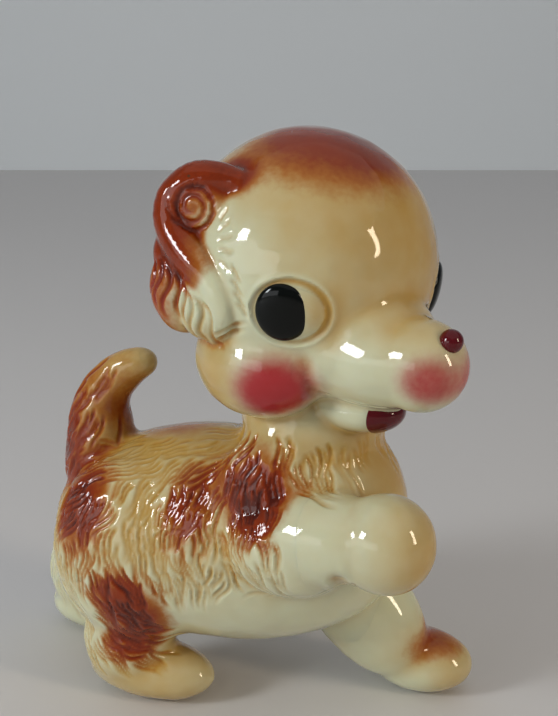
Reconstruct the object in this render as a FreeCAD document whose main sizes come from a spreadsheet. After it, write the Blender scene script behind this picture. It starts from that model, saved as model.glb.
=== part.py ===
"""Ceramic puppy figurine, standing on three feet with its right forepaw lifted.

The figure is slip-cast earthenware. The torso and the head are thin hollow castings whose cavities
meet through the neck. The legs, tail, ears, jaw and the small face pieces are cast or pressed solid
and luted on with slip before firing, each with a seat cut to the form that it joins. Nothing moves.

Frame: millimetres, +X forwards along the spine, +Y to the dog's left, +Z up, with z = 0 on the shelf
and x = y = 0 at the middle of the bounding box. The head turns to the dog's right, so its pieces are
placed in a head frame of their own: +X out through the nose, with its origin at the skull's centre.
"""
import FreeCAD, Part
import os

doc = FreeCAD.newDocument("puppy_figurine")
dims = doc.addObject("Spreadsheet::Sheet", "dims")
rows_used = 0

RIGHT, LEFT = -1, 1   # the side of the dog, as the sign of Y


def size(alias, value):
    """Puts one driving dimension in the sheet, in millimetres or degrees, and names its cell."""
    global rows_used
    rows_used += 1
    dims.set(f"A{rows_used}", alias)
    dims.set(f"B{rows_used}", str(value))
    dims.setAlias(f"B{rows_used}", alias)


def sizes(prefix, **values):
    """Puts a group of dimensions in the sheet: sizes("tail", root=8) names the cell tail_root."""
    for word, value in values.items():
        size(f"{prefix}_{word}", value)
    dims.recompute()


def place(piece, prefix, in_head_frame=False, poles="X"):
    """Binds a placement to the cells prefix_x, _y, _z and _yaw, _pitch, _roll."""
    bound = (f"placement(vector(dims.{prefix}_x; dims.{prefix}_y; dims.{prefix}_z);"
             f" rotation(dims.{prefix}_yaw; dims.{prefix}_pitch; dims.{prefix}_roll))")
    if in_head_frame:
        bound = ("placement(vector(dims.skull_x; dims.skull_y; dims.skull_z);"
                 f" rotation(dims.head_yaw; 0; 0)) * {bound}")
    bound = f"placement(vector(dims.spine_x; dims.spine_y; 0); rotation(0; 0; 0)) * {bound}"
    if poles == "X":
        bound += " * placement(vector(0; 0; 0); rotation(0; 90; 0))"
    piece.setExpression("Placement", bound)


def ellipsoid(name, cells, less, in_head_frame, poles):
    """An ellipsoid on the cells' half-lengths, less a wall, with its poles on its own X or Z axis."""
    solid = doc.addObject("Part::Ellipsoid", name)
    along, across = ("long", "high") if poles == "X" else ("high", "long")
    solid.setExpression("Radius1", f"dims.{cells}_{along}{less}")
    solid.setExpression("Radius2", f"dims.{cells}_{across}{less}")
    solid.setExpression("Radius3", f"dims.{cells}_wide{less}")
    place(solid, cells, in_head_frame, poles)
    return solid


def egg(name, at, half, turn=(0, 0, 0), head=False, poles="X"):
    """One egg of clay: its centre, its half-lengths along X, Y and Z, and its yaw, pitch and roll."""
    sizes(name, x=at[0], y=at[1], z=at[2], long=half[0], wide=half[1], high=half[2],
          yaw=turn[0], pitch=turn[1], roll=turn[2])
    return ellipsoid(name, name, "", head, poles)


def hollow(outer, head=False, poles="X"):
    """The hollow inside an egg: the same centre and turn, and half-lengths less the wall."""
    return ellipsoid(f"{outer}_hollow", outer, " - dims.wall", head, poles)


def cylinder(name, radius, length, at):
    """An upright round hole's tool, from its lower end up."""
    sizes(name, radius=radius, length=length, x=at[0], y=at[1], z=at[2], yaw=0, pitch=0, roll=0)
    solid = doc.addObject("Part::Cylinder", name)
    solid.setExpression("Radius", f"dims.{name}_radius")
    solid.setExpression("Height", f"dims.{name}_length")
    place(solid, name, poles="Z")
    return solid


def fuse(name, *pieces):
    joined = doc.addObject("Part::MultiFuse", name)
    joined.Shapes = list(pieces)
    return joined


def cut(name, base, *tools):
    """The base less its tools, which are joined first where there are several."""
    result = doc.addObject("Part::Cut", name)
    result.Base = base
    result.Tool = tools[0] if len(tools) == 1 else fuse(f"{name}_tools", *tools)
    return result


# ---- Walls, and the places of the spine and the head -------------------------------------------------
# The pieces are placed from the spine's middle plane, which lies a little to the right of the middle of
# the bounding box. Slip-cast earthenware of this size drains to a wall of about 3 mm.
sizes("spine", x=-0.35, y=-1.86)
sizes("head", yaw=-29)
sizes("skull", x=17, y=0, z=89.2)
size("wall", 3.2)

# ---- Torso casting -----------------------------------------------------------------------------------
# A barrel, a chest, two haunches and a short neck. A small hole under the belly lets the slip out of
# the mould and the steam out of the kiln, and the throat joins the torso's cavity to the head's.
torso_form = fuse(
    "torso_form",
    egg("barrel", (-0.2, 0, 34), (37, 19.5, 21.5), (0, -3, 0)),
    egg("chest", (19.3, 0, 41), (17.5, 17.5, 20)),
    egg("right_haunch", (-15.2, -9, 31), (17.5, 12, 19)),
    egg("left_haunch", (-22.2, 9, 28), (18, 12, 19)),
    egg("neck", (18.5, 0, 59.5), (13.5, 13, 8.3), poles="Z"))
torso_hollow = fuse("torso_hollow", hollow("barrel"), hollow("chest"), hollow("right_haunch"),
                    hollow("left_haunch"))
throat = cylinder("throat", 6.5, 18, (18, 0, 54))
drain = cylinder("drain", 2.5, 14, (2, 0, 4))
torso_casting = cut("torso_casting", torso_form, torso_hollow, throat, drain)

# ---- Head casting ------------------------------------------------------------------------------------
# A round skull, two puffed cheeks and a blunt muzzle. Its underside is the seat for the neck, and the
# eyes sit in shallow sockets.
EYE_TURN = 48.5      # each eye looks this far round from the nose
EYE_DIP = 12.5       # and this far down
GLANCE = -3.5        # both pupils look this much towards the dog's right


def on_skull(yaw, pitch, out):
    """A point in the head frame, out from the skull's centre along a direction."""
    ray = FreeCAD.Rotation(yaw, pitch, 0).multVec(FreeCAD.Vector(out, 0, 0))
    return tuple(round(value, 3) for value in ray)


def eyeball(side, sign):
    """A shallow lens of clay, pressed into its socket."""
    yaw = sign * EYE_TURN
    return egg(f"{side}_eyeball", on_skull(yaw, EYE_DIP, 22.5), (1.9, 6.2, 5.8), (yaw, EYE_DIP, 0), True)


def pupil(side, sign, eye):
    """A raised drop of black glaze on the front of an eyeball."""
    yaw = sign * EYE_TURN + GLANCE
    drop = egg(f"{side}_pupil_drop", on_skull(yaw, EYE_DIP, 23.8), (1.6, 4.5, 5), (yaw, EYE_DIP, 0), True)
    return cut(f"{side}_pupil", drop, eye, head_form)


head_form = fuse(
    "head_form",
    egg("cranium", (0, 0, 0), (23.4, 23.2, 23.6), head=True, poles="Z"),
    egg("right_cheek", (1, -11.5, -16.5), (13.5, 10.5, 10.2), head=True, poles="Z"),
    egg("left_cheek", (1, 11.5, -16.5), (13.5, 10.5, 10.2), head=True, poles="Z"),
    egg("muzzle", (17, 0, -13.8), (14, 10, 8.5), head=True),
    egg("muzzle_tip", (28.2, 0, -13.6), (8.2, 7.6, 7.4), head=True))
right_eyeball, left_eyeball = eyeball("right", RIGHT), eyeball("left", LEFT)
nose_bead = egg("nose_bead", (34.7, 0, -8.6), (1.9, 1.9, 1.9), (0, -45, 0), head=True)
head_casting = cut("head_casting", head_form, hollow("cranium", True, "Z"), hollow("muzzle", True),
                   torso_form, throat, right_eyeball, left_eyeball, nose_bead)
right_pupil, left_pupil = pupil("right", RIGHT, right_eyeball), pupil("left", LEFT, left_eyeball)

# ---- Tongue and lower jaw ----------------------------------------------------------------------------
# The jaw is a small separate chin under the muzzle, and the tongue lies between the two at its front.
tongue_form = egg("tongue_form", (21.5, 0, -23.2), (4.6, 4, 2.6), head=True)
tongue = cut("tongue", tongue_form, head_form)
jaw_form = egg("jaw_form", (14, 0, -23.5), (10.5, 7, 5), head=True)
lower_jaw = cut("lower_jaw", jaw_form, head_form, torso_form, tongue_form)


# ---- Ears --------------------------------------------------------------------------------------------
# Each ear is one pressed piece, turned a little forwards: a curled roll at the top and a flap below it.
def ear(side, sign):
    turn = (-sign * 30, 0, 0)
    curl = egg(f"{side}_ear_curl", (-3.9, sign * 20.6, 10.2), (9, 4.6, 7.8), turn, True, "Z")
    flap = egg(f"{side}_ear_flap", (-5, sign * 21.4, -4.6), (8.2, 5.2, 9.8), turn, True, "Z")
    return cut(f"{side}_ear", fuse(f"{side}_ear_form", curl, flap), head_form)


right_ear, left_ear = ear("right", RIGHT), ear("left", LEFT)

# ---- Legs --------------------------------------------------------------------------------------------
# Three feet stand flat on the shelf. The right forepaw is lifted, a round paw on a level forearm.
sizes("shelf", x=-80, y=-60, z=-20, long=160, wide=120, deep=20, yaw=0, pitch=0, roll=0)
shelf = doc.addObject("Part::Box", "shelf")
shelf.setExpression("Length", "dims.shelf_long")
shelf.setExpression("Width", "dims.shelf_wide")
shelf.setExpression("Height", "dims.shelf_deep")
place(shelf, "shelf", poles="Z")


def standing_leg(name, foot, upper):
    """A leg of two eggs, cut to the torso above and flat to the shelf below."""
    return cut(name, fuse(f"{name}_form", foot, upper), torso_form, shelf)


right_hind_leg = standing_leg(
    "right_hind_leg",
    egg("right_hind_foot", (-12.2, -9.2, 4.6), (13.2, 7.2, 6.4), poles="Z"),
    egg("right_hock", (-17, -9.5, 12), (9.5, 7.5, 10), poles="Z"))
left_hind_leg = standing_leg(
    "left_hind_leg",
    egg("left_hind_foot", (-36.6, 11, 4.6), (12.5, 8, 6.4), poles="Z"),
    egg("left_hock", (-35.2, 10, 14), (12, 7.5, 12), poles="Z"))
standing_left_foreleg = standing_leg(
    "standing_left_foreleg",
    egg("left_fore_foot", (36.8, 12.5, 5), (11, 7.5, 7), poles="Z"),
    egg("left_shin", (25.8, 10, 17.5), (10, 8.5, 17), (0, -42, 0), poles="Z"))
raised_right_foreleg = cut(
    "raised_right_foreleg",
    fuse("raised_right_foreleg_form",
         egg("right_fore_paw", (37.8, -15.5, 43.2), (8.1, 8, 8.8)),
         egg("right_forearm", (25.8, -15.5, 41), (16, 8, 8), (0, -6, 0))),
    torso_form)

# ---- Tail --------------------------------------------------------------------------------------------
tail = cut("tail", fuse("tail_form", egg("tail_root", (-27.2, 0, 55), (6.5, 6, 12), poles="Z"),
                        egg("tail_tip", (-22.4, 0, 66), (8, 4, 4), (0, -8, 0))), torso_form)

# ---- Check every object and write one file for each sub-part -----------------------------------------
sub_parts = [torso_casting, head_casting, lower_jaw, tongue, nose_bead, right_eyeball, left_eyeball,
             right_pupil, left_pupil, right_ear, left_ear, right_hind_leg, left_hind_leg,
             standing_left_foreleg, raised_right_foreleg, tail]
for part in sub_parts:
    part.Label = part.Name
doc.recompute()

failed = [item.Name for item in doc.Objects if "Invalid" in item.State or "Error" in item.State]
if failed:
    raise RuntimeError(f"these objects failed to recompute: {failed}")
os.makedirs("parts", exist_ok=True)
for part in sub_parts:
    shape = part.Shape
    if shape.isNull() or not shape.isValid() or len(shape.Solids) != 1:
        raise RuntimeError(f"{part.Label} isn't one valid solid")
    shape.exportStep(f"parts/{part.Label}.step")
    print(f"{part.Label}: {shape.Volume:.0f} mm3")
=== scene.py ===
"""A glazed earthenware puppy figurine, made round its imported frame.

The modeller's clay master is built up first, as one skin. The castings are then cut from it the way
moulds are taken, so that neighbours meet on one surface under the glaze. Lengths are millimetres
where they are multiplied by mm, and metres elsewhere.
"""
import math
import random

import bpy
import numpy as np
from mathutils import Matrix, Vector, kdtree, noise


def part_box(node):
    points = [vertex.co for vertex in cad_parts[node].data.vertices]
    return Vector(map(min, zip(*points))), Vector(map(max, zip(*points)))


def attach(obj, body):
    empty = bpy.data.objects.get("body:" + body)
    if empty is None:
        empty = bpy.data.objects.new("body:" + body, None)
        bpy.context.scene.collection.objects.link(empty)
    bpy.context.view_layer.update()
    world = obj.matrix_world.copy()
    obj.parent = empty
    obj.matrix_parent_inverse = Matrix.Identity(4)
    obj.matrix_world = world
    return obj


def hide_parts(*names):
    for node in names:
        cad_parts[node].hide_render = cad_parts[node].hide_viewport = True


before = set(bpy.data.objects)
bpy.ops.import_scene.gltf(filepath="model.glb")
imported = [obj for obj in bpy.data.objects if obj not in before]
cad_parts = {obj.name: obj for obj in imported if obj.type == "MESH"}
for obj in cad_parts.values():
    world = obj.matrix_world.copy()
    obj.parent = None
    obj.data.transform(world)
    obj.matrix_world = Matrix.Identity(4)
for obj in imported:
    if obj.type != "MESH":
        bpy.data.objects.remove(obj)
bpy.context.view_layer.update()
mm = 0.001

# ---- Clay master: the torso, legs and tail -----------------------------------------------------------
# The body is modelled in clay from pressed balls and rolled coils, which are worked together and
# smoothed. It is the pattern for the torso casting, the four legs and the tail.
bpy.ops.object.select_all(action="DESELECT")
torso_low, torso_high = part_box("torso_casting")
spine = Matrix.Translation((torso_high.x - 36.8 * mm, (torso_low.y + torso_high.y) / 2, 0))


def ball(place, at, half, turn=(0, 0, 0), detail=1):
    """A ball of clay pressed to an egg: its centre, half-lengths, and yaw, pitch and roll."""
    bpy.ops.mesh.primitive_uv_sphere_add(segments=32 * detail, ring_count=20 * detail, radius=1)
    egg = bpy.context.object
    yaw, pitch, roll = (math.radians(angle) for angle in turn)
    turned = Matrix.Rotation(yaw, 4, "Z") @ Matrix.Rotation(pitch, 4, "Y") @ Matrix.Rotation(roll, 4, "X")
    pressed = Matrix.Diagonal(Vector(half).to_4d() * mm)
    pressed[3][3] = 1
    egg.data.transform(place @ Matrix.Translation(Vector(at) * mm) @ turned @ pressed)
    return egg


def coil(place, *stations, gap=0.35):
    """A rolled coil of clay through stations of (x, y, z, radius), as close balls on a smooth line."""
    balls = []
    rows = [np.array(row, float) for row in stations]
    rows = [2 * rows[0] - rows[1]] + rows + [2 * rows[-1] - rows[-2]]
    for a, b, c, d in zip(rows, rows[1:], rows[2:], rows[3:]):
        steps = max(2, round(np.linalg.norm((c - b)[:3]) / (gap * min(b[3], c[3]))))
        for t in np.arange(steps + (d is rows[-1])) / steps:
            row = 0.5 * (2 * b + (c - a) * t + (2 * a - 5 * b + 4 * c - d) * t**2
                         + (3 * b - a - 3 * c + d) * t**3)
            balls.append(ball(place, row[:3], (row[3],) * 3))
    return balls


def work_together(name, lumps, grain, strokes):
    """Joins lumps of clay into one skin with a given grain, and smooths it with so many strokes."""
    bpy.ops.object.select_all(action="DESELECT")
    for lump in lumps:
        lump.select_set(True)
    bpy.context.view_layer.objects.active = lumps[0]
    bpy.ops.object.join()
    clay = bpy.context.object
    clay.name = name
    knead = clay.modifiers.new("knead", "REMESH")
    knead.mode = "VOXEL"
    knead.voxel_size = grain * mm
    sponge = clay.modifiers.new("sponge", "SMOOTH")
    sponge.factor = 0.5
    sponge.iterations = strokes
    for step in ("knead", "sponge"):
        bpy.ops.object.modifier_apply(modifier=step)
    return clay


barrel = work_together("barrel_clay", [
    ball(spine, (-0.2, 0, 34), (37, 19.5, 21.5), (0, -3, 0)),
    ball(spine, (19.3, 0, 41), (17.5, 17.5, 20.5)),
    ball(spine, (-15.2, -9.2, 31), (17.5, 12, 19.5)),
    ball(spine, (-22.2, 9.2, 28), (18, 12, 19.5)),
    ball(spine, (18.5, 0, 60), (14, 13.5, 10)),
    ball(spine, (14, -11, 47), (11, 7.5, 13), (0, 20, 0)),
    ball(spine, (14, 11, 47), (11, 7.5, 13), (0, 20, 0)),
], 0.9, 22)
limbs = [
    ball(spine, (-12.9, -8.4, 5.5), (14, 7.1, 5.9)),
    ball(spine, (-17, -9.5, 12), (9.8, 7.8, 10.5)),
    ball(spine, (-35.9, 12.3, 5.6), (12.2, 7.8, 5.8)),
    ball(spine, (-35.2, 10.8, 14), (12.3, 8, 12.5)),
    ball(spine, (37.1, 13.1, 6.2), (11, 7.6, 6.4)),
    ball(spine, (25.8, 10, 17.5), (10.3, 8.8, 17), (0, -42, 0)),
    ball(spine, (37.2, -15.5, 43.3), (8.9, 8.3, 9)),
    ball(spine, (26, -15.5, 42.6), (14.5, 8.4, 8.6), (0, -2, 0)),
    ball(spine, (18.6, -14.2, 39.2), (12, 9.3, 8.8), (0, 8, 0)),
]
tail = coil(spine, (-27.6, 0, 44.5, 7.4), (-27.2, 0, 50.5, 7.1), (-26.9, 0, 56.8, 5.8),
            (-24.7, 0, 61.2, 4.8), (-20.9, 0, 64.9, 4.1), (-17.4, 0, 66.6, 3.2), (-16.6, 0, 66.6, 2.7))
body = work_together("body_clay", [barrel] + limbs + tail, 0.6, 14)

# ---- Clay master: the head ---------------------------------------------------------------------------
# The head is modelled apart, turned to the dog's right, and set on the neck. Its frame has +X out
# through the nose, and is found from the two eyeballs, which sit to each side of it.
EYE_TURN, EYE_DIP, EYE_OUT = 48.5, 12.5, 22.5


def centre_of(node):
    """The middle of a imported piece."""
    low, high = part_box(node)
    return (low + high) / 2


right_eye, left_eye = centre_of("right_eyeball"), centre_of("left_eyeball")
across = (left_eye - right_eye).normalized()
ahead = across.cross(Vector((0, 0, 1)))
turn, dip = math.radians(EYE_TURN), math.radians(EYE_DIP)
skull_centre = (right_eye + left_eye) / 2 - ahead * (EYE_OUT * math.cos(dip) * math.cos(turn) * mm)
skull_centre.z += EYE_OUT * math.sin(dip) * mm
skull = Matrix.Translation(skull_centre) @ Matrix.Rotation(math.atan2(ahead.y, ahead.x), 4, "Z")

MUZZLE = (16.5, 0, -14), (17, 11.4, 9.3)
face = work_together("face_clay", [
    ball(skull, (0, 0, 0), (23.6, 23.4, 23.8)),
    ball(skull, (1, -11.5, -16.5), (13.8, 10.9, 10.4)),
    ball(skull, (1, 11.5, -16.5), (13.8, 10.9, 10.4)),
    ball(skull, (9.5, 0, -13.5), (15, 15, 9.6)),
    ball(skull, (15, 0, -9), (13, 11, 6.5)),
    ball(skull, *MUZZLE),
    ball(skull, (28.2, 0, -13.8), (8.6, 7.9, 8)),
], 0.6, 20)
jaw = ball(skull, (13, 0, -23.9), (10.3, 6.9, 4.8))
master = work_together("master_clay", [body, face, jaw], 0.5, 5)

# ---- Clay master: the ears ---------------------------------------------------------------------------
# Each ear is a thick flap pressed against the skull, turned a little forwards, with a roll curled over
# its root. An ear's frame has -Y or +Y out through it, for the right or the left ear.
EAR_TURN = 30
ear_frames = {side: skull @ Matrix.Rotation(math.radians(-side * EAR_TURN), 4, "Z") for side in (-1, 1)}
ears = []
for side, place in ear_frames.items():
    ears += [
        ball(place, (-13.8, side * 15.2, 10.8), (6.8, 4.2, 6.6)),
        ball(place, (-17, side * 15.2, -3.2), (6.6, 6, 8.4)),
        ball(place, (-11.8, side * 17.4, -4.2), (6.2, 5.2, 7.8)),
        ball(place, (-14.5, side * 12, 5), (7.2, 6.6, 8)),
        ball(place, (-19, side * 15.2, 2.4), (4, 4, 5.5)),
    ]
    ears += coil(place, (-7, side * 15.6, 15.1, 2.2), (-11, side * 15.4, 15.6, 2.9),
                 (-15, side * 15.6, 14.9, 3.4), (-18.2, side * 15.9, 11.8, 3.6),
                 (-18.6, side * 16.3, 7.8, 3.6), (-16, side * 17.8, 4, 3.5),
                 (-12, side * 19.2, 0.6, 3.4), (-8.8, side * 20.3, -3.2, 3.1),
                 (-8.2, side * 20, -7, 2.9), (-10.2, side * 17.8, -9.8, 2.8))
master = work_together("master_clay", [master] + ears, 0.36, 4)

# ---- Clay master: tool work --------------------------------------------------------------------------
# The hair is drawn into the damp clay with a wire tool, in short locks of side-by-side strokes. The
# eyes, creases and ear curls are cut with the same tool, and the soles are pressed flat on the bench.
chance = random.Random(7)
count = len(master.data.vertices)


def read(mesh, field):
    """One row of three numbers for each point of a mesh."""
    values = np.empty(len(mesh.vertices) * 3)
    mesh.vertices.foreach_get(field, values)
    return values.reshape(-1, 3)


def lookup(points):
    """Finds the nearest of many points to any place."""
    tree = kdtree.KDTree(len(points))
    for index, point in enumerate(points):
        tree.insert(point, index)
    tree.balance()
    return tree


skin, facing = read(master.data, "co") / mm, read(master.data, "normal")
nearest = lookup(skin)
carved = np.zeros(count)


def local(place, at):
    """A point of a place's frame, in the whole figure's millimetres."""
    return place @ (Vector(at) * mm) / mm


def seen_from(points, place):
    """Points of the whole figure, in a place's own millimetres."""
    back = place.inverted()
    return points @ np.array(back.to_3x3()).T + np.array(back.translation) / mm


def along(place, heading):
    """A heading of a place's frame, in the whole figure's."""
    return (place.to_3x3() @ Vector(heading)).normalized()


def drag(start, heading, length, sway=0.0, bend=0.0, step=0.3):
    """The path of the tool over the skin, with a side-to-side sway and a steady bend in degrees."""
    touch, index, _ = nearest.find(start)
    line = [touch.copy()]
    heading = Vector(heading)
    steps = max(3, round(length / step))
    for k in range(steps):
        normal = Vector(facing[index])
        heading = (heading - normal * heading.dot(normal)).normalized()
        heading.rotate(Matrix.Rotation(math.radians(bend) / steps, 3, normal))
        swing = sway * math.cos(2 * math.pi * k / steps)
        point = line[-1] + (heading + normal.cross(heading) * swing).normalized() * step
        touch, index, _ = nearest.find(point)
        line.append(point - Vector(facing[index]) * (point - touch).dot(Vector(facing[index])))
    return line


def carve(line, depth, width):
    """Draws the tool along a line: a round-bottomed groove that fades in quickly and out slowly."""
    last = len(line) - 1
    for k, point in enumerate(line):
        pressed = depth * min(1, 0.35 + 5 * k / last, 3 * (1 - k / last) + 0.1)
        for _, index, distance in nearest.find_range(point, width):
            cut_here = pressed * (1 - (distance / width) ** 2) ** 1.5
            if cut_here > carved[index]:
                carved[index] = cut_here


def lock(start, heading, length, hairs, spacing, depth, width, sway, bend=0.0):
    """A lock of hair: side-by-side strokes that start apart and draw together."""
    _, index, _ = nearest.find(start)
    out = Vector(facing[index])
    heading = Vector(heading)
    beside = out.cross(heading).normalized()
    for hair in range(hairs):
        aside = (hair - (hairs - 1) / 2) * spacing
        ragged = chance.uniform(0, 0.25) * length
        towards = heading - beside * aside * 0.5 / length
        root = Vector(start) + beside * aside + heading * ragged
        carve(drag(root, towards, length * chance.uniform(0.7, 1), sway, bend),
              depth * chance.uniform(0.65, 1.1), width)


# How the coat lies: points on the right flank in the spine's frame, and the way the hair runs there.
COAT = [
    ((-24, -8, 53), (-0.7, 0, -0.7)), ((-37, -7, 42), (-0.25, -0.2, -1)), ((-36, -13, 28), (0.25, 0, -1)),
    ((-20, -18, 44), (-0.45, 0, -0.9)), ((-23, -20, 32), (0.1, 0, -1)), ((-17, -21, 22), (0.65, 0, -0.75)),
    ((-9, -18, 15), (0.9, 0, -0.4)), ((-8, -20, 38), (0.3, 0, -1)), ((-6, -17, 48), (-0.15, 0, -1)),
    ((3, -18, 46), (-0.4, 0, -0.9)), ((0, -20, 34), (0.4, 0, -0.9)), ((13, -9, 58), (-0.3, -0.4, -1)),
    ((14, -17, 49), (-0.05, 0, -1)), ((8, -18, 42), (-0.1, 0, -1)), ((22, -15, 53), (0.45, 0, -0.85)),
    ((27, -18, 49), (0.8, 0, -0.6)), ((15, -18, 40), (0.2, 0, -1)), ((33, -7, 52), (0.15, 0, -1)),
    ((-10, -6, 55), (-0.9, -0.4, -0.1)), ((-40, 0, 34), (0, 0, -1)), ((36, 0, 45), (0, 0, -1)),
]
COAT_BLEND = 6.5
coat_at = np.array([(x, side * -y, z) for side in (-1, 1) for (x, y, z), _ in COAT])
coat_way = np.array([(x, side * -y, z) for side in (-1, 1) for _, (x, y, z) in COAT])
spine_mm = np.array(spine.translation) / mm


def coat_heading(point):
    """The way the hair runs at a point, blended from the nearest places where it is known."""
    near = np.exp(-((coat_at + spine_mm - point) ** 2).sum(1) / (2 * COAT_BLEND**2)) + 1e-9
    return Vector((near[:, None] * coat_way).sum(0)).normalized()


def near_ball(points, place, at, half):
    """How far points are from a centre, as a share of the half-lengths: under 1 is inside."""
    return np.linalg.norm((seen_from(points, place) - at) / np.array(half), axis=1)


# The coat covers the flanks, haunches and neck. The head, the raised foreleg, the lower chest, the middle
# of the back and the front of the neck stay smooth, and the tail is left for strokes of its own.
x, y, z = (skin - spine_mm).T
coat_zone = ((z > 12) & (x < -10)) | (z > 31.5 + 0.12 * np.abs(x - 6))
coat_zone &= (near_ball(skin, skull, (0, 0, -2), (30, 26, 25)) > 1) & (z < 61)
coat_zone &= near_ball(skin, spine, (24, -16, 33), (17, 11, 9)) > 1
coat_zone &= near_ball(skin, spine, (34, -16, 43), (19, 12, 11.5)) > 1
coat_zone &= ~((x > 27) & (z < 47)) & ~((z > 53) & (np.abs(y) < 6) & (x > -22) & (x < 4))
coat_zone &= near_ball(skin, spine, (-23, 0, 64), (14, 9, 15)) > 1
coat_zone &= near_ball(skin, spine, (34, -4, 51), (9.5, 12, 9.5)) > 1
candidates = list(np.nonzero(coat_zone)[0])
chance.shuffle(candidates)
seeds = []
ROOM = 3.9
for index in candidates:
    point = skin[index]
    if not seeds or min(((skin[seeds] - point) ** 2).sum(1)) > ROOM**2:
        seeds.append(index)
for index in seeds:
    point = skin[index]
    heading = coat_heading(point)
    heading.rotate(Matrix.Rotation(math.radians(chance.gauss(0, 9)), 3, Vector(facing[index])))
    faint = 0.45 if point[0] - spine_mm[0] > 27 else 0.6 if abs(point[1] - spine_mm[1]) < 9 else 1
    lock(point, heading, chance.uniform(6.5, 10), hairs=chance.choice((4, 4, 5)), spacing=1.05,
         depth=0.5 * faint, width=0.64, sway=chance.choice((-0.32, 0.32)), bend=chance.uniform(-28, 28))

# The tail's hair runs from its tip to its root.
TAIL_HALF = 7
for back, height in ((-22, 66), (-27, 62), (-30, 57), (-31, 52), (-25, 57), (-28, 47)):
    for side in (-1, 1):
        for turn_about in (0.25, 0.75, 1.0):
            start = local(spine, (back, side * TAIL_HALF * turn_about, height))
            lock(start, (-0.45, 0, -0.9), chance.uniform(6, 9), hairs=3, spacing=1.25, depth=0.44,
                 width=0.7, sway=0.25)

# The eyes sit in shallow sockets with a soft lid round them.
eye_frames = {side: skull @ Matrix.Rotation(side * turn, 4, "Z") @ Matrix.Rotation(dip, 4, "Y")
              for side in (-1, 1)}
raised = np.zeros(count)
EYE_LENGTH, EYE_HEIGHT = 6.1, 5.4
for place in eye_frames.values():
    out, level, rise = seen_from(skin, place).T
    rim = np.where(out > 14, np.hypot(level / EYE_LENGTH, rise / EYE_HEIGHT), 9)
    carved = np.maximum(carved, 0.42 * np.clip(1 - ((rim - 1.02) / 0.13) ** 2, 0, 1))
    raised += 0.2 * np.exp(-(((rim - 1.16) / 0.08) ** 2))

for side in (-1, 1):
    # The mouth runs back from the chin to a turned-up corner, and each cheek folds in behind it.
    mouth = [(25, 4.6, -21.4), (21, 6.6, -21.8), (17, 8.8, -21), (14, 10.4, -19.8), (13, 11.4, -18)]
    fold = [(13.4, 11, -19.4), (14.6, 13.4, -16.6), (15.6, 14.6, -13.4)]
    for points, depth, width in ((mouth, 0.5, 0.8), (fold, 0.55, 2.4)):
        for one, other in zip(points, points[1:]):
            carve([local(skull, [(a + (b - a) * t) * c for a, b, c in zip(one, other, (1, side, 1))])
                   for t in np.linspace(0, 1, 14)], depth, width)
    # Two creases run back from each eye, and wisps hang at each temple.
    for height, length in ((-9.4, 7), (-11.6, 6)):
        start = local(skull, (2.5, side * 22.4, height))
        carve(drag(start, along(skull, (1, 0, 0.3)), length, 0.1, side * 30), 0.45, 0.8)
    for k in range(5):
        lean = math.radians(62 - 26 * k)
        start = local(skull, (2.4 + 0.3 * k, side * 22, 9.4 - 1.7 * k))
        carve(drag(start, along(skull, (math.cos(lean), 0, math.sin(lean))), chance.uniform(2.8, 3.8), 0.3,
                   side * -35), 0.24, 0.7)
    for k in range(4):
        start = local(skull, (6 + 0.4 * k, side * 22, 2 - 2 * k))
        carve(drag(start, along(skull, (0.45, 0, -0.9)), chance.uniform(3, 4.5), 0.3, side * -30), 0.4, 0.66)
    # The roll of each ear is cut with a spiral, and its flap with long waves.
    ear = ear_frames[side]
    spiral = []
    for t in np.linspace(0, 1, 320):
        angle, reach = math.radians(150 + 980 * t), 4.6 - 4.3 * t
        at = (-14 + reach * math.cos(angle), side * 18.5, 11.2 + reach * math.sin(angle))
        spiral.append(nearest.find(local(ear, at))[0])
    carve(spiral, 0.34, 0.66)
    for k in range(12):
        start = local(ear, (-23 + 1.05 * k, side * (15 + 0.45 * k), 3.6 - 0.7 * k))
        carve(drag(start, along(ear, (0.02 + 0.04 * k, 0, -1)), chance.uniform(9, 12), 0.7, side * 20),
              0.46, 0.66)
# Fine wrinkles fan out under the lifted elbow, and the wrist is nipped in.
for k in range(8):
    start = local(spine, (31 - 1.9 * k, -17, 35.5 - 0.3 * k))
    carve(drag(start, (-0.55, -0.4, -0.75), 7, 0.1, 35), 0.2, 0.6)
for k in range(4):
    start = local(spine, (29.3 + 1.25 * k, -20, 38.6))
    carve(drag(start, (0.1, 0, -1), 4.5, 0.1), 0.34, 0.62)
carve(drag(local(spine, (30.4, -23, 38.5)), (0.15, 0.3, -1), 7), 0.8, 2.2)

# The clay is lifted at the lids, is never quite even, and is pressed flat at the soles.
uneven = np.array([noise.noise(point * 0.13) + 0.5 * noise.noise(point * 0.31)
                   for point in map(Vector, skin)])
skin += facing * (raised + 0.14 * uneven - carved)[:, None]
skin[:, 2] = np.maximum(skin[:, 2], 0)
master.data.vertices.foreach_set("co", (skin * mm).ravel())
master.data.update()

# ---- Clay master: where the glazes go ----------------------------------------------------------------
# The underglazes are airbrushed on the master as soft dabs, and kept as attributes of its points: where
# the glaze pools, where it is honey-coloured, with painted shade and painted warm light in the same mask,
# and where the russet and the rose are sprayed.


def dabs(place, *spots):
    """Soft dabs of spray as (centre, half-lengths, strength), at half strength on their edges."""
    bare = np.ones(count)
    for at, half, strength in spots:
        bare *= 1 - strength * 0.5 ** (near_ball(skin, place, at, half) ** 3)
    return 1 - bare


def over(*coats):
    """Coats of spray laid over one another."""
    return 1 - np.prod([1 - coat for coat in coats], axis=0)


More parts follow.
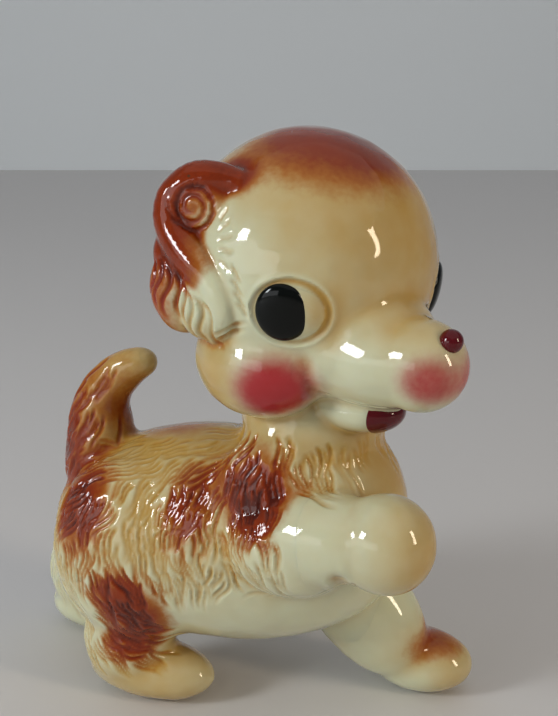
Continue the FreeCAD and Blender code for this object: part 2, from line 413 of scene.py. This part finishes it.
ends = np.empty(len(master.data.edges) * 2, int)
master.data.edges.foreach_get("vertices", ends)
ends = ends.reshape(-1, 2)
worn = skin.copy()
links_of = np.bincount(ends.ravel(), minlength=count)[:, None]
for _ in range(40):
    pulled = np.stack([np.bincount(ends.ravel(), worn[ends[:, ::-1].ravel(), axis], count)
                       for axis in range(3)], axis=1)
    worn = 0.5 * worn + 0.5 * pulled / links_of
pooled = np.clip(((worn - skin) * facing).sum(1) / 0.45, -1, 1)

russet_coats = [
    dabs(skull, ((8, 0.5, 24), (15.5, 17.5, 13), 1), ((-19, 5, 14), (12, 18, 14), 0.7)),
    dabs(spine,
         ((-23, -17, 43.5), (7, 8, 10.5), 0.95), ((-30, 8, 43), (8, 10, 13), 0.9),
         ((-37, 0, 38), (5, 12, 12), 0.4), ((-0.5, -17, 46), (4.8, 7, 10), 0.74),
         ((2, 17, 44), (8, 8, 10), 0.9), ((14.6, -16, 47.5), (6.5, 8, 8), 1),
         ((12.5, -12, 54), (5, 8, 5), 0.45), ((16, 16, 48), (8, 8, 10), 0.9),
         ((8, -15, 51), (6, 8, 4), 0.65), ((-13, -18, 26), (6.6, 7, 5.6), 0.95),
         ((-9.5, -19, 20), (6, 7, 5.5), 0.9), ((-28, 19, 22), (9, 7, 9), 0.9),
         ((-13.5, -18, 14), (6, 7, 4.6), 0.8), ((39.5, 12.4, 12.2), (9, 8, 4.8), 0.72),
         ((-12, 2, 56), (12, 9, 4), 0.62), ((-30, 0, 48), (7.4, 9, 8), 1),
         ((-32.5, 0, 57), (5, 8, 7), 0.6), ((-24, 0, 62), (13, 9, 9), 0.6)),
]
for side in (-1, 1):
    russet_coats.append(dabs(
        ear_frames[side],
        ((-15.5, side * 17, 16.6), (7, 7, 4.2), 1), ((-20.2, side * 16, 11), (4.6, 7, 8), 1),
        ((-8.5, side * 16, 16.8), (5, 5.5, 3.2), 1), ((-18, side * 18, 4.2), (5, 7, 5), 1),
        ((-13.6, side * 20, 1), (4, 6, 3.6), 0.8), ((-14, side * 17, 11), (5, 5, 5), 0.55),
        # The last dab on the next line, at the flap's lower edge, is painted shade under the flap.
        ((-21, side * 17, -4), (4.8, 8, 9), 0.75), ((-13, side * 18, -12), (6, 7, 2), 0.4)))
paint = {
    "carved": np.clip(carved / 0.5, 0, 1),
    "pooled": pooled,
    "russet": over(*russet_coats),
    "rose": over(
        dabs(skull, ((11.8, -18, -19.4), (6.6, 8, 6.2), 1), ((11.8, 18, -19.4), (6.6, 8, 6.2), 1),
             ((35, -5.5, -15), (5, 6, 4.5), 0.76), ((35, 5.5, -15), (5, 6, 4.5), 0.76),
             ((5, 2, 24), (12, 12, 5), 0.3)),
        dabs(ear_frames[-1], ((-21, -16, -6), (5, 8, 8), 0.35)),
        dabs(ear_frames[1], ((-21, 16, -6), (5, 8, 8), 0.35))),
    # The honey mask is partly the glaze's own honey tone and partly painted light: painted shade on the
    # chest front, under the chin, the belly and the body, at the cheeks, by the eyes and at the feet, and
    # painted warm light on the far side of the forehead.
    "honey_and_shade": over(
        dabs(skull, ((18, 16, 6), (14, 16, 20), 0.9), ((4, 0, -30), (16, 14, 6), 0.6),
             ((-8, -22, -12), (8, 8, 8), 0.6), ((-20, 0, 0), (14, 24, 26), 0.8),
             ((18, -6, 8), (15, 14, 15), 0.6), ((4, 0, 20), (22, 22, 12), 0.75),
             ((31, 0, -6), (8, 10, 6), 0.6),
             ((18.5, -11.8, -4.8), (2.6, 3.2, 5), 0.6), ((18.5, 11.8, -4.8), (2.6, 3.2, 5), 0.6),
             ((1, -22, -18), (5, 8, 8), 0.75)),
        dabs(spine, ((34, 5, 50), (9, 13, 14), 0.95), ((0, -4, 55), (28, 17, 6), 0.85),
             ((-30, 0, 40), (14, 22, 20), 0.75), ((-5, -18, 42), (24, 10, 13), 0.6),
             ((-8, 0, 11), (24, 17, 7), 0.75), ((-22, 0, 62), (18, 11, 15), 1),
             ((46, 12, 3), (6, 10, 6), 0.7), ((40, 12.5, 12), (11, 9, 6), 0.8),
             ((-6, -9, 2), (10, 9, 4), 0.6), ((-8, 20, 38), (30, 10, 24), 0.7),
             ((43, -14, 43), (9, 11, 10), 0.9), ((-13, -13, 4), (14, 8, 6), 0.6))),
}
nearest = lookup(skin)

# ---- Glazes ------------------------------------------------------------------------------------------
# Every piece is under a thick, clear, very glossy glaze. The cream is warm and uneven, turns honey where
# the glaze is thick and where shade and warm light are painted into it, and carries the sprayed russet and
# rose.


class Recipe:
    """A glossy glaze whose colour is mixed step by step."""

    def __init__(self, name, base, roughness, milkiness=0.0, coat_share=0.75):
        self.material = bpy.data.materials.new(name)
        self.material.use_nodes = True
        self.nodes = self.material.node_tree.nodes
        self.links = self.material.node_tree.links
        self.shader = self.nodes["Principled BSDF"]
        self.colour = None
        self.set(self.shader.inputs, {
            "Base Color": (*base, 1), "Roughness": roughness, "Specular IOR Level": 0.12,
            "Coat Weight": coat_share, "Coat Roughness": 0.03, "Subsurface Weight": milkiness,
            "Subsurface Radius": (1, 0.6, 0.3), "Subsurface Scale": 0.0015})
        self.base = base

    def set(self, sockets, values):
        """Fills sockets with numbers, or links them to other nodes' outputs."""
        for socket, value in values.items():
            if hasattr(value, "links"):
                self.links.new(value, sockets[socket])
            else:
                sockets[socket].default_value = value

    def node(self, kind, inputs=None, out=0, **settings):
        """Adds a node, and gives one of its outputs."""
        made = self.nodes.new(f"ShaderNode{kind}")
        for word, value in settings.items():
            setattr(made, word, value)
        self.set(made.inputs, inputs or {})
        return made.outputs[out]

    def attribute(self, name):
        """What was painted on the clay under a name."""
        return self.node("Attribute", out="Fac", attribute_name=name)

    def cloud(self, scale, detail=3.0):
        """Noise with features of so many millimetres, from 0 to 1."""
        place = self.node("TexCoord", out="Object")
        return self.node("TexNoise", {"Vector": place, "Scale": 1 / (scale * mm), "Detail": detail})

    def maths(self, operation, a, b):
        """Two values added, multiplied or compared."""
        return self.node("Math", {0: a, 1: b}, operation=operation)

    def total(self, value, *shares):
        """A value with shares of others added to it."""
        for other, share in shares:
            value = self.maths("ADD", value, self.maths("MULTIPLY", other, share))
        return value

    def between(self, value, low, high):
        """A soft step from 0 at low to 1 at high."""
        return self.node("MapRange", {"Value": value, "From Min": low, "From Max": high},
                         interpolation_type="SMOOTHSTEP")

    def coat(self, share, colour):
        """Lays a colour over the last one, by a share from 0 to 1."""
        under = self.colour or (*self.base, 1)
        self.colour = self.node("Mix", {0: share, 6: under, 7: (*colour, 1)}, out=2, data_type="RGBA")
        self.links.new(self.colour, self.shader.inputs["Base Color"])


CREAM = (0.66, 0.66, 0.46)
HONEY_AND_SHADE = (0.52, 0.31, 0.065)
AMBER = (0.42, 0.15, 0.02)
RUSSET = (0.27, 0.036, 0.004)
DARK_RUSSET = (0.095, 0.011, 0.003)
ROSE = (0.42, 0.022, 0.030)
SPECK = (0.12, 0.05, 0.02)


def glaze(name):
    """The cream glaze, with its honey and painted shade, russet and rose."""
    mix = Recipe(name, CREAM, 0.09, 0.15)
    patchy = mix.cloud(7)
    fine = mix.cloud(1.1, 5)
    honey_and_shade = mix.total(mix.attribute("honey_and_shade"), (patchy, 0.35), (mix.attribute("pooled"), 0.45),
                      (mix.attribute("carved"), 0.2))
    mix.coat(mix.between(honey_and_shade, 0.0, 1.3), HONEY_AND_SHADE)
    russet = mix.total(mix.attribute("russet"), (patchy, 0.3), (fine, 0.22),
                       (mix.attribute("carved"), 0.2), (mix.attribute("pooled"), 0.24))
    mix.coat(mix.between(russet, 0.47, 0.9), AMBER)
    mix.coat(mix.between(russet, 0.76, 1.12), RUSSET)
    mix.coat(mix.between(russet, 1.08, 1.5), DARK_RUSSET)
    rose = mix.total(mix.attribute("rose"), (fine, 0.16))
    mix.coat(mix.maths("MULTIPLY", mix.between(rose, 0.14, 1.0), 0.98), ROSE)
    far_from_speck = mix.node("TexVoronoi", {"Vector": mix.node("TexCoord", out="Object"), "Scale": 150.0})
    speck = mix.node("MapRange", {"Value": far_from_speck, "From Min": 0.05, "From Max": 0.03})
    mix.coat(mix.maths("MULTIPLY", speck, mix.maths("GREATER_THAN", mix.cloud(6), 0.56)), SPECK)
    return mix.material


glazes = {"body_glaze": glaze("cream and honey"), "ear_glaze": glaze("russet ear"),
          "tail_glaze": glaze("russet tail"),
          "burgundy_glaze": Recipe("burgundy", (0.115, 0.003, 0.007), 0.08).material,
          "black_glaze": Recipe("black", (0.002, 0.003, 0.002), 0.12, coat_share=0.4).material}

# ---- Castings ----------------------------------------------------------------------------------------
# Each casting is cut from the master with an egg, so that its seat fits its neighbour. The torso and
# the head are hollow, and meet through the neck.


def tool_on(piece, tool, operation, keep=False):
    """Cuts a piece with another solid, and throws the other away unless it is kept."""
    shear = piece.modifiers.new("shear", "BOOLEAN")
    shear.operation, shear.solver, shear.object = operation, "MANIFOLD", tool
    bpy.ops.object.select_all(action="DESELECT")
    bpy.context.view_layer.objects.active = piece
    piece.select_set(True)
    bpy.ops.object.modifier_apply(modifier="shear")
    if not keep:
        bpy.data.objects.remove(tool)
    return piece


def copy_of(piece, name):
    """A second piece with a mesh of its own."""
    twin = piece.copy()
    twin.data = piece.data.copy()
    twin.name = name
    bpy.context.collection.objects.link(twin)
    return twin


def finish(piece, node, slot="body_glaze"):
    """Names a finished piece, paints it like the master, and hands it to the frame."""
    piece.name = node
    if slot not in ("burgundy_glaze", "black_glaze"):
        from_master = [nearest.find(point / mm)[1] for point in map(Vector, read(piece.data, "co"))]
        for name, values in paint.items():
            piece.data.attributes.new(name, "FLOAT", "POINT")
            piece.data.attributes[name].data.foreach_set("value", values[from_master].astype(np.float32))
    piece.data.materials.clear()
    piece.data.materials.append(glazes[slot])
    bpy.ops.object.select_all(action="DESELECT")
    bpy.context.view_layer.objects.active = piece
    piece.select_set(True)
    bpy.ops.object.shade_smooth_by_angle(angle=math.radians(50))
    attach(piece, "root")
    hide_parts(node)
    return piece


def take(stock, node, cutter, slot="body_glaze"):
    """Takes a casting from the stock where the cutter reaches."""
    piece = tool_on(copy_of(stock, node), cutter, "INTERSECT", keep=True)
    tool_on(stock, cutter, "DIFFERENCE")
    return finish(piece, node, slot)


muzzle = ball(skull, *MUZZLE, detail=2)
tongue = ball(skull, (13, 0, -24), (10.6, 7.05, 4.95), detail=2)
tool_on(tongue, ball(skull, (28.6, 0, -25), (9.4, 9, 9), detail=2), "INTERSECT")
tool_on(tongue, muzzle, "DIFFERENCE", keep=True)
tool_on(master, tongue, "DIFFERENCE", keep=True)
finish(tongue, "tongue", "burgundy_glaze")
reach = tool_on(ball(skull, (13.6, 0, -26.4), (11.2, 7.9, 5.4), detail=2), muzzle, "DIFFERENCE")
take(master, "lower_jaw", reach)
bpy.ops.mesh.primitive_cube_add(size=1)
head_box = bpy.context.object
box_place, box_size = Matrix.Translation((0.04, 0, 0.102)), Matrix.Diagonal((0.1, 0.12, 0.08, 1))
head_box.data.transform(spine @ box_place @ box_size)
head = tool_on(copy_of(master, "head"), head_box, "INTERSECT", keep=True)
tool_on(master, head_box, "DIFFERENCE")
GLANCE = math.radians(3.5)
for side, word in ((-1, "right"), (1, "left")):
    reach = ball(ear_frames[side], (-15.2, side * 19, 2), (11, 9, 17.6), detail=2)
    tool_on(reach, ball(skull, (0, 0, 0), (24, 24, 24), detail=3), "DIFFERENCE")
    take(head, f"{word}_ear", reach, "ear_glaze")
    socket = ball(eye_frames[side], (21.5, 0, 0), (2.6, EYE_LENGTH, EYE_HEIGHT), detail=2)
    tool_on(head, socket, "DIFFERENCE", keep=True)
    pupil = ball(skull @ Matrix.Rotation(side * turn - GLANCE, 4, "Z")
                 @ Matrix.Rotation(dip, 4, "Y"), (22.9, 0, 0), (1.6, 4.5, 5.1), detail=2)
    finish(tool_on(pupil, socket, "DIFFERENCE", keep=True), f"{word}_pupil", "black_glaze")
    finish(socket, f"{word}_eyeball")
nose = ball(Matrix.Translation(centre_of("nose_bead")), (0, 0, 0), (2, 2, 2), detail=2)
tool_on(head, nose, "DIFFERENCE", keep=True)
finish(nose, "nose_bead", "burgundy_glaze")
head_hollow = work_together("head_hollow", [
    ball(skull, (0, 0, 0), (20.2, 20, 20.4)),
    *coil(spine, (18, 0, 56, 6.5), (18, 0, 76, 6.5)),
], 1.5, 4)
tool_on(head, head_hollow, "DIFFERENCE", keep=True)
finish(head, "head_casting")

take(master, "tail", ball(spine, (-25, 0, 60), (12, 8.5, 12.6), detail=2), "tail_glaze")
take(master, "right_hind_leg", ball(spine, (-13, -10, 1), (16, 10.5, 12.5), detail=2))
take(master, "left_hind_leg", ball(spine, (-38, 11, 2), (15, 10.5, 14.5), detail=2))
take(master, "standing_left_foreleg", ball(spine, (32, 11.5, 11), (14, 10.5, 20), (0, -42, 0), detail=2))
take(master, "raised_right_foreleg", ball(spine, (35, -17.5, 43), (15, 9.5, 11.5), detail=2))
torso_hollow = work_together("torso_hollow", [
    ball(spine, (-0.2, 0, 34), (33.8, 16.3, 18.3), (0, -3, 0)),
    ball(spine, (19.3, 0, 41), (13.5, 11.5, 16.5)),
    ball(spine, (-15.2, -9, 31), (14.3, 8.8, 16.3)),
    ball(spine, (-22.2, 9, 28), (14.8, 8.8, 16.3)),
], 1.5, 4)
tool_on(torso_hollow, head_hollow, "UNION")
drain = coil(spine, (2, 0, 4, 2.5), (2, 0, 20, 2.5))
tool_on(torso_hollow, work_together("drain", drain, 0.5, 3), "UNION")
tool_on(master, torso_hollow, "DIFFERENCE")
finish(master, "torso_casting")

# ---- Camera, floor and light -------------------------------------------------------------------------
# A pale floor and wall, a cool window and a low one to the left, a warm window to the right, a broad
# ceiling light and a soft sky. The camera looks from the front right, a little from above.
AZIMUTH, ELEVATION = math.radians(21), math.radians(15)
WALL_AWAY = 1.1


def backdrop(name, size, place, colour):
    """A plain matt sheet that isn't part of the figurine."""
    bpy.ops.mesh.primitive_plane_add(size=size)
    sheet = bpy.context.object
    sheet.name = name
    sheet.data.transform(place)
    paint_coat = bpy.data.materials.new(f"{name}_paint")
    paint_coat.use_nodes = True
    inputs = paint_coat.node_tree.nodes["Principled BSDF"].inputs
    inputs["Base Color"].default_value = (*colour, 1)
    inputs["Roughness"].default_value = 0.6
    sheet.data.materials.append(paint_coat)


backdrop("floor", 60, Matrix(), (0.68, 0.66, 0.65))
backdrop("wall", 6, Matrix.Rotation(AZIMUTH, 4, "Z") @ Matrix.Translation((0, WALL_AWAY, 0))
         @ Matrix.Rotation(math.pi / 2, 4, "X"), (0.88, 0.91, 0.92))

view_right = Vector((math.cos(AZIMUTH), math.sin(AZIMUTH), 0))
view_ahead = Vector((-math.sin(AZIMUTH), math.cos(AZIMUTH), 0))
CAMERA_RIGHT, CAMERA_BACK, CAMERA_UP = 5.3, 202.8, 124
camera_data = bpy.data.cameras.new("camera")
camera_data.lens = 56
camera_data.clip_start = 0.01
camera = bpy.data.objects.new("camera", camera_data)
bpy.context.collection.objects.link(camera)
camera.location = spine.translation + (CAMERA_RIGHT * view_right - CAMERA_BACK * view_ahead) * mm
camera.location.x += 5.8 * mm
camera.location.z = CAMERA_UP * mm
camera.rotation_euler = (math.pi / 2 - ELEVATION, 0, AZIMUTH)
bpy.context.scene.camera = camera


def window(name, place, target, width, height, power, colour):
    """A rectangular soft light that faces a point."""
    light = bpy.data.lights.new(name, "AREA")
    light.shape = "RECTANGLE"
    light.size, light.size_y, light.energy, light.color = width, height, power, colour
    lamp = bpy.data.objects.new(name, light)
    bpy.context.collection.objects.link(lamp)
    lamp.location = place
    lamp.rotation_euler = (Vector(target) - lamp.location).to_track_quat("-Z", "Y").to_euler()


window("cool_window", (-0.45, -0.5, 0.34), (0, 0, 0.06), 0.16, 0.2, 4.4, (0.92, 0.97, 1))
window("warm_window", (0.64, -0.13, 0.28), (0, 0, 0.06), 0.085, 0.27, 2.4, (1, 0.85, 0.65))
window("ceiling", (0.2, -0.1, 1.6), (0, 0, 0), 3, 3, 18, (1, 0.98, 0.94))
window("low_window", (-0.55, -0.95, 0.2), (0, 0, 0.03), 1.0, 0.35, 3.6, (0.96, 0.98, 1))
sky = bpy.data.worlds.new("soft_room")
bpy.context.scene.world = sky
sky.use_nodes = True
sky.node_tree.nodes["Background"].inputs["Color"].default_value = (0.8, 0.85, 0.93, 1)
sky.node_tree.nodes["Background"].inputs["Strength"].default_value = 0.42
bpy.context.scene.view_settings.view_transform = "Standard"
bpy.context.scene.view_settings.exposure = -0.9
bpy.context.scene.view_settings.gamma = 0.9
